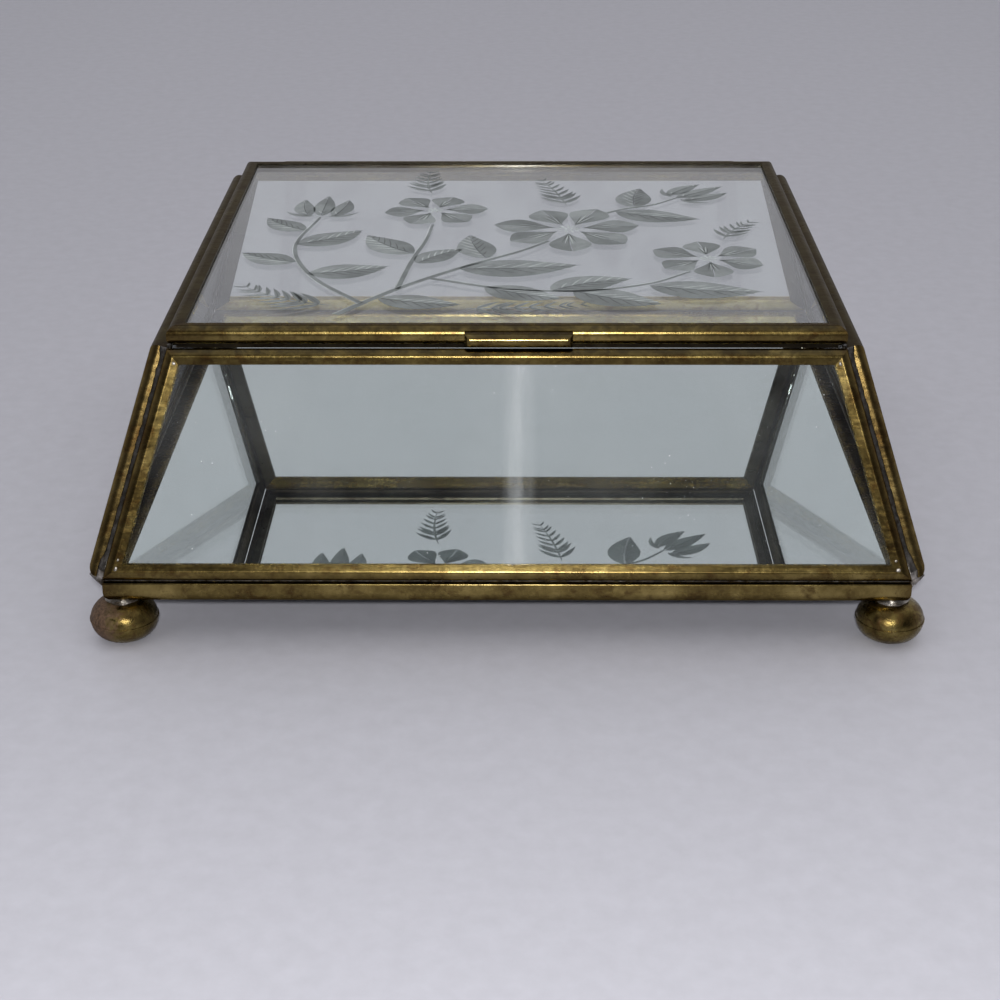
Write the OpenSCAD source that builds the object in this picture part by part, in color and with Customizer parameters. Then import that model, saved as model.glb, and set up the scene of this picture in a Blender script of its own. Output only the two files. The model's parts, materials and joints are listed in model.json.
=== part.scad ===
// Glass casket box: four leaning glass walls on a mirror base, closed by a flat
// hinged glass lid and standing on four hollow ball feet. Every pane is edged
// with U-section brass channel, mitred at its corners, and the edged panels
// are soldered to each other along their inner edges.
// Millimetres. The origin is on the surface that the box stands on, under its
// centre. +Z is up, +X is to the right and the lift tab is at the front, at -Y.

/* [Box] */
// Width of the base, which is the length of the front wall's lower edge
base_w = 140; // [100:1:200]
// Depth of the base, from its front edge to its back edge
base_d = 140; // [100:1:200]
// Height of the inner line of the rim above the base
wall_h = 37.6; // [25:0.1:80]
// How far in each side wall leans by the rim
side_lean = 11.8; // [2:0.1:20]
// How far in the front and back walls lean by the rim
front_lean = 13.6; // [2:0.1:20]
// How far the lower edges of the front and back walls overhang the base
front_overhang = 1; // [0:0.1:1.2]

/* [Glass and channel] */
// Thickness of the panes of the walls and the lid
glass_t = 2; // [1.5:0.1:3.2]
// Thickness of the base mirror
mirror_t = 2.8; // [2:0.1:4]
// Play between a pane and each leg of its channel
glass_play = 0.05; // [0.02:0.01:0.1]
// Gap between the edge of a pane and the rounded part of its channel
glass_edge_gap = 0.1; // [0.05:0.05:0.3]
// Thickness of the channel's brass sheet
sheet_t = 0.5; // [0.3:0.05:0.7]
// Outside depth of the channel's legs
leg = 2.8; // [2.4:0.1:5]
// Radius of the channel's long edge that faces outwards
outer_edge_r = 1.5; // [0.8:0.05:1.5]
// Radius of the lower long edge of the base's channel
base_edge_r = 2; // [0.8:0.05:2.1]
// Radius of the channel's inner long edge on the walls and the base
inner_edge_r = 0.3; // [0.1:0.05:0.4]
// Radius of the channel's lower long edge on the lid
lid_edge_r = 1; // [0.3:0.05:1.5]
// Radius of the ridge along the outer leg
ridge_r = 0.8; // [0.3:0.05:0.8]
// How far the free edge of the outer leg slopes down from the ridge on the walls
leg_drop = 0.3; // [0:0.05:0.3]
// How far it slopes down on the lid
lid_leg_drop = 0.05; // [0:0.05:0.3]

/* [Lid] */
// How far the side edges of the lid reach over the rim's inner lines
lid_side_reach = 0.1; // [-2:0.1:0.5]
// How far the lid reaches forward of the rim's inner line
lid_front_reach = 0.9; // [0.5:0.1:1.5]
// How far the back edge of the lid stays forward of the rim's inner line
lid_back_setback = 0.3; // [0:0.1:1]
// Height of the lid's underside over the crest of the rim
lid_lift = 0.25; // [0.1:0.05:1]
// Depth of the strip that hangs from the lid inside the front rim
lip_h = 1.05; // [0.4:0.05:1.2]
// Width of that strip
lip_w = 1.2; // [0.8:0.1:1.3]
// Distance of each end of that strip from the side of the lid
lip_stop = 1.3; // [1.2:0.1:10]

/* [Lift tab] */
// Length of the tab along the lid's front edge
tab_len = 18.5; // [10:0.5:40]
// How far the tab stands out from the lid
tab_reach = 2.4; // [1.6:0.1:4]
// Thickness of the tab
tab_t = 2.3; // [1.8:0.1:2.3]
// Radius of the tab's upper and lower front edges
tab_nose_r = 1.1; // [0.3:0.05:1.1]
// Radius of the tab's front corners, seen from above
tab_corner_r = 1.3; // [0.3:0.1:1.5]
// Depth of the tab's top below the top of the lid
tab_drop = 0.6; // [0.4:0.05:0.7]
// Distance of the tab's middle from the lid's middle
tab_offset = 2.1; // [-20:0.1:20]

/* [Feet] */
// Diameter of a ball foot at its seam
foot_d = 11.8; // [9:0.1:18]
// Height of a ball foot
foot_h = 7.2; // [6:0.1:9]
// Wall of the two cups that make a foot
foot_wall = 0.5; // [0.3:0.05:0.8]
// Distance of a foot's centre from the edges of the base
foot_inset = 2.8; // [2.5:0.1:8]
// How far the seam between the cups stands out
seam_bead = 0.12; // [0.05:0.01:0.3]
// Radius of the solder between a foot and the base
pad_r = 2.6; // [1.8:0.1:4]
// Thickness of the solder between a foot and the base
pad_t = 0.3; // [0.1:0.05:0.6]

/* [Hinge] */
// Length of the whole hinge
hinge_len = 100; // [60:1:110]
// Number of knuckles, odd, shared in turn by the case and the lid
knuckle_count = 5; // [3:2:9]
// Outside diameter of a knuckle
knuckle_d = 2.4; // [2:0.1:2.6]
// Diameter of the hinge pin
pin_d = 1.2; // [0.8:0.1:1.3]
// Running clearance round the pin
pin_play = 0.05; // [0.02:0.01:0.1]
// Gap between two knuckles
knuckle_gap = 0.3; // [0.15:0.05:0.6]
// Gap between the knuckles of the case and the back edge of the lid
swing_gap = 0.3; // [0.2:0.05:0.4]
// Height of the hinge line over the underside of the lid
hinge_rise = 1.2; // [1:0.1:1.6]
// Width of the foot that joins a case knuckle to the rim
knuckle_foot_w = 1.2; // [0.8:0.1:1.6]
// Thickness of the strap that joins a lid knuckle to the lid
strap_t = 1; // [0.6:0.1:1.2]
// Thickness of the peened heads of the pin
pin_head_t = 0.5; // [0.3:0.1:1]
// Gap between a pin head and the end knuckle
pin_end_play = 0.1; // [0.05:0.05:0.3]

/* [Solder] */
// Depth of the solder inside the corner grooves
seam_d = 1.4; // [0.8:0.1:1.8]
// Depth of the solder at the foot of the corner grooves
foot_seam_d = 2.7; // [1.8:0.1:2.8]
// Depth of the solder at the head of the corner grooves
head_seam_d = 1.9; // [1.8:0.1:2.4]
// Height of the solder lump at the foot of a corner groove
lump_h = 4; // [2:0.5:8]
// Depth of the solder under the front and back walls
front_seam_d = 0.9; // [0.6:0.1:1.7]
// Width of the solder fillets under the side walls
side_seam_w = 2.7; // [0.8:0.1:3]
// Height of those fillets on the sides of the base
side_seam_h = 1.6; // [0.8:0.1:2.6]
// Distance that the solder fillets stop short of the corners
seam_stop = 0.3; // [0.1:0.1:6]
// Radius of the solder beads that the front of the lid rests on
bead_r = 0.45; // [0.4:0.05:0.6]
// Clearance between the rest beads and the closed lid
rest_gap = 0.05; // [0.02:0.01:0.08]

/* [Hidden] */
$fn = 48;

// Thickness of an edged panel, over the legs of its channel
channel_t = glass_t + 2 * (glass_play + sheet_t);
base_t = mirror_t + 2 * (glass_play + sheet_t);
// Angles of the walls from upright
front_tilt = atan(front_lean / wall_h);
side_tilt = atan(side_lean / wall_h);
// Half sizes of the space inside, at the base and at the rim
bottom_x = base_w / 2;
bottom_y = base_d / 2 - channel_t * cos(front_tilt) + front_overhang;
top_x = bottom_x - side_lean;
top_y = bottom_y - front_lean;
// Heights over the surface that the box stands on
base_top = foot_h + pad_t + base_t;
rim_z = base_top + wall_h;
// Radii of the web's edges, with at least this much flat between them
web_flat = 0.1;
edge_r = min(outer_edge_r, (channel_t - web_flat) / 2);
lid_under_r = min(lid_edge_r, (channel_t - web_flat) / 2);
base_r = min(base_edge_r, base_t - inner_edge_r - web_flat);
// Height of a rim's rounded crest over its inner line, for a wall that leans by an angle
function crest(tilt) = edge_r * (1 - cos(tilt)) + (channel_t - edge_r) * sin(tilt);
lid_bottom = rim_z + max(crest(front_tilt), crest(side_tilt)) + lid_lift;
// Panels, each as half its lower edge, half its upper edge and its height in its own plane
front_panel = [bottom_x, top_x, norm([wall_h, front_lean])];
side_panel = [bottom_y, top_y, norm([wall_h, side_lean])];
base_panel = [bottom_x, bottom_x, base_d];
lid_x = top_x + lid_side_reach;
lid_front = -top_y - lid_front_reach;
lid_back = top_y - lid_back_setback;
lid_panel = [lid_x, lid_x, lid_back - lid_front];
// Hinge line, parallel to X
hinge_y = lid_back + swing_gap + knuckle_d / 2;
hinge_z = lid_bottom + hinge_rise;
knuckle_pitch = hinge_len / knuckle_count;
// Centres of the feet
foot_x = base_w / 2 - foot_inset;
foot_y = base_d / 2 - foot_inset;
// How far a cut runs past what it cuts
past = 1;

aged_brass = [0.42, 0.35, 0.22];
dark_brass = [0.3, 0.26, 0.19];
solder_grey = [0.62, 0.62, 0.6];
clear_glass = [0.72, 0.78, 0.76, 0.35];
mirror_grey = [0.8, 0.82, 0.84];

// Edges of a panel, in the order of its corners
BOTTOM = 0;
RIGHT = 1;
TOP = 2;
LEFT = 3;

// Half width of a panel at height v, drawn in by e from its sloping edges
function half_at(p, v, e) = p[0] - (p[0] - p[1]) * v / p[2] - e * norm([1, (p[0] - p[1]) / p[2]]);
// Corners of a panel drawn in by e from all its edges, lower left first
function corners(p, e) = [
    [-half_at(p, e, e), e], [half_at(p, e, e), e],
    [half_at(p, p[2] - e, e), p[2] - e], [-half_at(p, p[2] - e, e), p[2] - e]
];

// Section of a channel that is t thick, or of its slot when set in by a sheet: the web is at
// x = 0, and low_r and high_r round its two corners
module web_end(set_in, low_r, high_r, t = channel_t) {
    high_centre = t - set_in - high_r;
    split = min(t / 2, high_centre);
    translate([set_in + low_r, set_in]) square([leg, split - set_in]);
    translate([set_in + high_r, split]) square([leg, t - set_in - split]);
    translate([set_in, set_in + low_r]) square([leg, high_centre - set_in - low_r]);
    if (low_r > 0) translate([set_in + low_r, set_in + low_r]) circle(low_r);
    if (high_r > 0) translate([set_in + high_r, high_centre]) circle(high_r);
}
// Outline of a channel with its outer leg on top, sloping down from a rounded ridge
module outline(low_r = inner_edge_r, drop = leg_drop) {
    ridge = [edge_r, channel_t - ridge_r];
    tip = [leg, channel_t - drop];
    slant = tip - ridge;
    touch = atan2(slant[1], slant[0]) + acos(ridge_r / norm(slant));
    intersection() {
        web_end(0, low_r, edge_r);
        union() {
            square([edge_r, channel_t]);
            translate(ridge) circle(ridge_r);
            polygon([[edge_r, 0], [leg, 0], tip, ridge + ridge_r * [cos(touch), sin(touch)], ridge]);
        }
    }
}

// Stretches a section along one edge of a panel
module along_edge(p, edge) {
    start = corners(p, 0)[edge];
    run = corners(p, 0)[(edge + 1) % 4] - start;
    translate(start) rotate([0, 0, atan2(run[1], run[0])])
        rotate([90, 0, 90]) linear_extrude(norm(run)) children();
}

// Stretches a section along one edge of a panel and mitres both ends
module mitred(p, edge, t = channel_t) {
    outer = corners(p, 0);
    inner = corners(p, leg + past);
    next = (edge + 1) % 4;
    intersection() {
        along_edge(p, edge) children();
        translate([0, 0, -past]) linear_extrude(t + 2 * past)
            polygon([outer[edge], outer[next], inner[next], inner[edge]]);
    }
}

// Length of channel along one edge of a panel
module channel(p, edge, low_r = inner_edge_r, drop = leg_drop) {
    mitred(p, edge) difference() {
        outline(low_r, drop);
        web_end(sheet_t, max(low_r - sheet_t, 0), edge_r - sheet_t);
    }
}
module base_channel(edge) {
    mitred(base_panel, edge, base_t) difference() {
        intersection() {
            web_end(0, inner_edge_r, base_r, base_t);
            square([leg, base_t]);
        }
        web_end(sheet_t, 0, base_r - sheet_t, base_t);
    }
}

// Pane of a panel, seated in its channels
module pane(p, t = glass_t, r = edge_r) {
    translate([0, 0, sheet_t + glass_play]) linear_extrude(t)
        polygon(corners(p, r + glass_edge_gap));
}

// Places of the panels: a panel is drawn with its lower edge along X and its outer face up
module in_front() {
    translate([0, -bottom_y, base_top]) rotate([90 - front_tilt, 0, 0]) children();
}
module at_back() {
    rotate([0, 0, 180]) in_front() children();
}
module on_right() {
    rotate([0, 0, 90]) translate([0, -bottom_x, base_top]) rotate([90 - side_tilt, 0, 0]) children();
}
module on_left() {
    rotate([0, 0, 180]) on_right() children();
}
module under() {
    translate([0, base_d / 2, base_top]) rotate([180, 0, 0]) children();
}
module over() {
    translate([0, lid_front, lid_bottom]) children();
}

// Base
module base_mirror() { color(mirror_grey) under() pane(base_panel, mirror_t, base_r); }
module base_channel_front() { color(aged_brass) under() base_channel(TOP); }
module base_channel_back() { color(aged_brass) under() base_channel(BOTTOM); }
module base_channel_left() { color(aged_brass) under() base_channel(LEFT); }
module base_channel_right() { color(aged_brass) under() base_channel(RIGHT); }

// Walls
module front_glass() { color(clear_glass) in_front() pane(front_panel); }
module front_channel_bottom() { color(aged_brass) in_front() channel(front_panel, BOTTOM); }
module front_channel_top() { color(aged_brass) in_front() channel(front_panel, TOP); }
module front_channel_left() { color(aged_brass) in_front() channel(front_panel, LEFT); }
module front_channel_right() { color(aged_brass) in_front() channel(front_panel, RIGHT); }

module back_glass() { color(clear_glass) at_back() pane(front_panel); }
module back_channel_bottom() { color(aged_brass) at_back() channel(front_panel, BOTTOM); }
module back_channel_top() { color(aged_brass) at_back() channel(front_panel, TOP); }
module back_channel_left() { color(dark_brass) at_back() channel(front_panel, RIGHT); }
module back_channel_right() { color(dark_brass) at_back() channel(front_panel, LEFT); }

module left_glass() { color(clear_glass) on_left() pane(side_panel); }
module left_channel_bottom() { color(dark_brass) on_left() channel(side_panel, BOTTOM); }
module left_channel_top() { color(dark_brass) on_left() channel(side_panel, TOP); }
module left_channel_front() { color(aged_brass) on_left() channel(side_panel, RIGHT); }
module left_channel_back() { color(dark_brass) on_left() channel(side_panel, LEFT); }

module right_glass() { color(clear_glass) on_right() pane(side_panel); }
module right_channel_bottom() { color(dark_brass) on_right() channel(side_panel, BOTTOM); }
module right_channel_top() { color(dark_brass) on_right() channel(side_panel, TOP); }
module right_channel_front() { color(aged_brass) on_right() channel(side_panel, LEFT); }
module right_channel_back() { color(dark_brass) on_right() channel(side_panel, RIGHT); }

// Lid
module lid_glass() { color(clear_glass) over() pane(lid_panel); }
module lid_channel_front() { color(aged_brass) over() channel(lid_panel, BOTTOM, lid_under_r, lid_leg_drop); }
module lid_channel_back() { color(dark_brass) over() channel(lid_panel, TOP, lid_under_r, lid_leg_drop); }
module lid_channel_left() { color(dark_brass) over() channel(lid_panel, LEFT, lid_under_r, lid_leg_drop); }
module lid_channel_right() { color(dark_brass) over() channel(lid_panel, RIGHT, lid_under_r, lid_leg_drop); }

// Strip under the lid's front channel, which lies inside the rim and keeps the lid in line
module lid_lip() {
    lip_len = 2 * (lid_x - lip_stop);
    color(dark_brass) translate([-lip_len / 2, lid_front + leg - lip_w, lid_bottom - lip_h])
        cube([lip_len, lip_w, lip_h]);
}

// Tab that the lid is lifted by, shaped to the round of the front channel behind it
module tab_section() {
    back = edge_r;
    translate([-back, 0]) square([back + tab_reach - tab_nose_r, tab_t]);
    translate([-back, tab_nose_r]) square([back + tab_reach, tab_t - 2 * tab_nose_r]);
    for (y = [tab_nose_r, tab_t - tab_nose_r])
        translate([tab_reach - tab_nose_r, y]) circle(tab_nose_r);
}
module tab_plan() {
    translate([-tab_len / 2, tab_corner_r - tab_reach]) square([tab_len, tab_reach + edge_r]);
    translate([tab_corner_r - tab_len / 2, -tab_reach]) square([tab_len - 2 * tab_corner_r, tab_reach]);
    for (side = [-1, 1])
        translate([side * (tab_len / 2 - tab_corner_r), tab_corner_r - tab_reach]) circle(tab_corner_r);
}
module lift_tab() {
    color(aged_brass) difference() {
        translate([tab_offset, lid_front, lid_bottom + channel_t - tab_drop - tab_t]) intersection() {
            rotate([90, 0, -90]) translate([0, 0, -tab_len / 2]) linear_extrude(tab_len) tab_section();
            translate([0, 0, -past]) linear_extrude(tab_t + 2 * past) tab_plan();
        }
        over() along_edge(lid_panel, BOTTOM) outline(lid_under_r, lid_leg_drop);
    }
}

// Hinge
function knuckle_start(i) = -hinge_len / 2 + i * knuckle_pitch + knuckle_gap / 2;
knuckle_len = knuckle_pitch - knuckle_gap;
module along_hinge(x) {
    translate([x, hinge_y, hinge_z]) rotate([0, 90, 0]) children();
}
module pin_bore(i) {
    along_hinge(knuckle_start(i) - past) cylinder(h = knuckle_len + 2 * past, d = pin_d + 2 * pin_play);
}
module case_knuckle(i) {
    difference() {
        union() {
            along_hinge(knuckle_start(i)) cylinder(h = knuckle_len, d = knuckle_d);
            translate([knuckle_start(i), hinge_y - knuckle_foot_w / 2, rim_z])
                cube([knuckle_len, knuckle_foot_w, hinge_z - rim_z]);
        }
        at_back() along_edge(front_panel, TOP) outline();
        pin_bore(i);
    }
}
module lid_knuckle(i) {
    difference() {
        union() {
            along_hinge(knuckle_start(i)) cylinder(h = knuckle_len, d = knuckle_d);
            translate([knuckle_start(i), lid_back - edge_r, lid_bottom + (channel_t - strap_t) / 2])
                cube([knuckle_len, hinge_y - lid_back + edge_r, strap_t]);
        }
        over() along_edge(lid_panel, TOP) outline(lid_under_r, lid_leg_drop);
        pin_bore(i);
    }
}
module case_knuckles() {
    color(dark_brass) for (i = [0:2:knuckle_count - 1]) case_knuckle(i);
}
module lid_knuckles() {
    color(dark_brass) for (i = [1:2:knuckle_count - 2]) lid_knuckle(i);
}
module hinge_pin() {
    head_x = hinge_len / 2 - knuckle_gap / 2 + pin_end_play;
    color(aged_brass) {
        along_hinge(-head_x) cylinder(h = 2 * head_x, d = pin_d);
        for (x = [-head_x - pin_head_t, head_x])
            along_hinge(x) cylinder(h = pin_head_t, d = (pin_d + knuckle_d) / 2);
    }
}

// Solder in the groove between two walls. The groove runs up the right front corner,
// between the ends of the front and right panels, and the others mirror it.
groove_foot = [bottom_x, -bottom_y, base_top];
groove_run = [-side_lean, front_lean, wall_h];
front_out = [0, -cos(front_tilt), sin(front_tilt)];
right_out = [cos(side_tilt), 0, sin(side_tilt)];
lump_share = lump_h / norm(groove_run);
// Levels up the groove, each as its share of the run and the depth of the solder there
groove_levels = [
    [0, foot_seam_d], [lump_share, foot_seam_d], [1.3 * lump_share, seam_d],
    [0.93, seam_d], [0.96, head_seam_d], [1, head_seam_d]
];
module corner_solder() {
    points = [for (level = groove_levels) for (out = [[0, 0, 0], front_out, right_out])
        groove_foot + level[0] * groove_run + level[1] * out];
    last = 3 * (len(groove_levels) - 1);
    sides = [for (k = [0:len(groove_levels) - 2]) for (j = [0:2])
        [3 * k + j, 3 * k + 3 + j, 3 * k + 3 + (j + 1) % 3, 3 * k + (j + 1) % 3]];
    color(solder_grey) polyhedron(points, concat([[0, 1, 2], [last, last + 2, last + 1]], sides));
}
module corner_solder_front_right() { corner_solder(); }
module corner_solder_front_left() { mirror([1, 0, 0]) corner_solder(); }
module corner_solder_back_right() { mirror([0, 1, 0]) corner_solder(); }
module corner_solder_back_left() { rotate([0, 0, 180]) corner_solder(); }

// Solder in the narrow groove under the front wall
module base_solder_front() {
    color(solder_grey) translate([-bottom_x + seam_stop, -bottom_y, base_top]) rotate([90, 0, 90])
        linear_extrude(2 * (bottom_x - seam_stop)) polygon([
            [0, 0], [-front_seam_d * cos(front_tilt), front_seam_d * sin(front_tilt)], [-front_seam_d, 0]
        ]);
}
module base_solder_back() { rotate([0, 0, 180]) base_solder_front(); }

// Solder fillet between the lower edge of the right wall and the side of the base
module base_solder_right() {
    color(solder_grey) translate([bottom_x, bottom_y - seam_stop, base_top]) rotate([90, 0, 0])
        linear_extrude(2 * (bottom_y - seam_stop)) polygon([
            [0, 0], [0, -side_seam_h], [side_seam_w * cos(side_tilt), side_seam_w * sin(side_tilt)]
        ]);
}
module base_solder_left() { rotate([0, 0, 180]) base_solder_right(); }

// Two beads on the front rim that the front corners of the lid come down on
module lid_rest_beads() {
    color(solder_grey) for (side = [-1, 1]) difference() {
        translate([side * (lid_x - bead_r), -top_y - bead_r, rim_z])
            cylinder(h = lid_bottom - rest_gap - rim_z, r = bead_r);
        in_front() along_edge(front_panel, TOP) outline();
    }
}

// Feet
module foot_outline(shrink) {
    half_h = foot_h / 2;
    flat_r = foot_d / 2 - half_h;
    intersection() {
        translate([0, -foot_h]) square([foot_d, 2 * foot_h]);
        union() {
            translate([flat_r, 0]) circle(half_h - shrink);
            translate([0, -half_h + shrink]) square([flat_r, foot_h - 2 * shrink]);
        }
    }
}
module at_foot(sx, sy) {
    translate([sx * foot_x, sy * foot_y, foot_h / 2]) children();
}
module foot_cup(low) {
    rotate_extrude() {
        difference() {
            foot_outline(0);
            foot_outline(foot_wall);
            translate([-past, low ? 0 : -foot_h]) square([foot_d, foot_h]);
        }
        if (!low) translate([foot_d / 2 - foot_wall / 2, 0])
            square([foot_wall / 2 + seam_bead, 2 * seam_bead]);
    }
}
module foot_upper_cup_front_left() { color(aged_brass) at_foot(-1, -1) foot_cup(false); }
module foot_upper_cup_front_right() { color(aged_brass) at_foot(1, -1) foot_cup(false); }
module foot_upper_cup_back_left() { color(aged_brass) at_foot(-1, 1) foot_cup(false); }
module foot_upper_cup_back_right() { color(aged_brass) at_foot(1, 1) foot_cup(false); }
module foot_lower_cup_front_left() { color(aged_brass) at_foot(-1, -1) foot_cup(true); }
module foot_lower_cup_front_right() { color(aged_brass) at_foot(1, -1) foot_cup(true); }
module foot_lower_cup_back_left() { color(aged_brass) at_foot(-1, 1) foot_cup(true); }
module foot_lower_cup_back_right() { color(aged_brass) at_foot(1, 1) foot_cup(true); }
module foot_solder() {
    color(solder_grey) for (sx = [-1, 1], sy = [-1, 1])
        translate([sx * foot_x, sy * foot_y, foot_h]) cylinder(h = pad_t, r = pad_r);
}

base_mirror();
base_channel_front();
base_channel_back();
base_channel_left();
base_channel_right();
front_glass();
front_channel_bottom();
front_channel_top();
front_channel_left();
front_channel_right();
back_glass();
back_channel_bottom();
back_channel_top();
back_channel_left();
back_channel_right();
left_glass();
left_channel_bottom();
left_channel_top();
left_channel_front();
left_channel_back();
right_glass();
right_channel_bottom();
right_channel_top();
right_channel_front();
right_channel_back();
lid_glass();
lid_channel_front();
lid_channel_back();
lid_channel_left();
lid_channel_right();
lid_lip();
lift_tab();
hinge_pin();
case_knuckles();
lid_knuckles();
corner_solder_front_left();
corner_solder_front_right();
corner_solder_back_left();
corner_solder_back_right();
base_solder_front();
base_solder_back();
base_solder_left();
base_solder_right();
lid_rest_beads();
foot_upper_cup_front_left();
foot_upper_cup_front_right();
foot_upper_cup_back_left();
foot_upper_cup_back_right();
foot_lower_cup_front_left();
foot_lower_cup_front_right();
foot_lower_cup_back_left();
foot_lower_cup_back_right();
foot_solder();
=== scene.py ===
"""Looks of the glass casket box: aged brass channel, sheet glass, a mirror base, grey solder
and a wheel-cut spray of flowers on the lid. Metres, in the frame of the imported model:
+Z up, the lift tab at the front, at -Y."""

import json
import math

import bmesh
import bpy
from mathutils import Matrix, Vector, noise


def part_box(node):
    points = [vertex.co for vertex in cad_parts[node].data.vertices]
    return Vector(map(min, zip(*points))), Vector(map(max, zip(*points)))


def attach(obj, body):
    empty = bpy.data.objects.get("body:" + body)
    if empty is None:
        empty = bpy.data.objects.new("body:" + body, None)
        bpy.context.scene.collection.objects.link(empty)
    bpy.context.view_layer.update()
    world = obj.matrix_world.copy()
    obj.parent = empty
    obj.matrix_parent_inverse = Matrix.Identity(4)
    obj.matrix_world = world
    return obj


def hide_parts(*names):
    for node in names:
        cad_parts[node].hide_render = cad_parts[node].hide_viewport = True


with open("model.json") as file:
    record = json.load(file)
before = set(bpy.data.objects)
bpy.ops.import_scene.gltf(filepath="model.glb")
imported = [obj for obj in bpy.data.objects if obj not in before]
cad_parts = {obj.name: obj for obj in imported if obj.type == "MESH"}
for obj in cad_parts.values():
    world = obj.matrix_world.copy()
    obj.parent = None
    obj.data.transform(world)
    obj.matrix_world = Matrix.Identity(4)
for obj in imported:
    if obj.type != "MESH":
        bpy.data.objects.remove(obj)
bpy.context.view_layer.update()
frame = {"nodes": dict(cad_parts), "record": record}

MM = 0.001

# ---------------------------------------------------------------- camera

# The view of the photograph: place in millimetres, angles in degrees
CAMERA_AT = (1.85, -368.6, 165.8)
CAMERA_PITCH = 24.86
CAMERA_YAW = -0.556
CAMERA_ROLL = -0.174
FOCAL_PX = 1944.3
IMAGE_PX = 1000
SENSOR_MM = 36.0
# Nearest distance that the camera sees, in metres
CLIP_START = 0.01


def new_object(name, data):
    """An object in the scene that holds the data."""
    obj = bpy.data.objects.new(name, data)
    bpy.context.scene.collection.objects.link(obj)
    return obj


def make_camera():
    """The camera, placed and turned as the photograph's was."""
    data = bpy.data.cameras.new("camera")
    data.sensor_width = SENSOR_MM
    data.lens = FOCAL_PX * SENSOR_MM / IMAGE_PX
    data.clip_start = CLIP_START
    camera = new_object("camera", data)
    turn = (
        Matrix.Rotation(math.radians(-CAMERA_YAW), 4, "Z")
        @ Matrix.Rotation(math.radians(90 - CAMERA_PITCH), 4, "X")
        @ Matrix.Rotation(math.radians(CAMERA_ROLL), 4, "Z")
    )
    camera.matrix_world = Matrix.Translation(Vector(CAMERA_AT) * MM) @ turn
    bpy.context.scene.camera = camera


# ---------------------------------------------------------------- node helpers


def fill_ramp(node, stops):
    """Gives a colour ramp its stops: each is (place, colour), and a number stands for a grey."""
    points = node.color_ramp.elements
    while len(points) < len(stops):
        points.new(0.5)
    for point, (at, colour) in zip(points, stops):
        point.position = at
        grey = isinstance(colour, (int, float))
        point.color = (colour, colour, colour, 1.0) if grey else (*colour, 1.0)


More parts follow.
